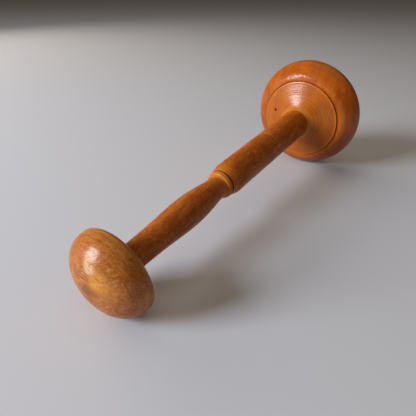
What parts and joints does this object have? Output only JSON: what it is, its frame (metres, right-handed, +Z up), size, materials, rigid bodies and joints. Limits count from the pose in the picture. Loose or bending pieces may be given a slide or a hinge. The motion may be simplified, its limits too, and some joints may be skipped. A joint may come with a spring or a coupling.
{
  "type": "wooden mallet",
  "caption": "Turned wooden mallet with a broad bun-shaped striking head at one end, a straight grip, a beaded collar, a slim baluster and a small mushroom head at the other end.",
  "frame": {"origin": "on the surface that the mallet lies on, below the middle of its bounding box", "axes": "+Z up; the mallet lies along X on the rims of both heads, with the large head at +X, and its axis dips 5 degrees towards the small head at -X"},
  "size_m": [0.3214, 0.112, 0.1114],
  "materials": {
    "large_head_wood": "satin polish, worn",
    "grip_wood": "satin polish, darkened by handling",
    "baluster_wood": "satin polish, darkened by handling",
    "small_head_wood": "satin polish, scuffed",
    "wedge_wood": "bare end grain under old polish"
  },
  "bodies": {
    "root": {"large_head": "large_head_wood", "head_wedge": "wedge_wood", "grip_shaft": "grip_wood", "baluster_shaft": "baluster_wood", "small_head": "small_head_wood"}
  },
  "joints": []
}
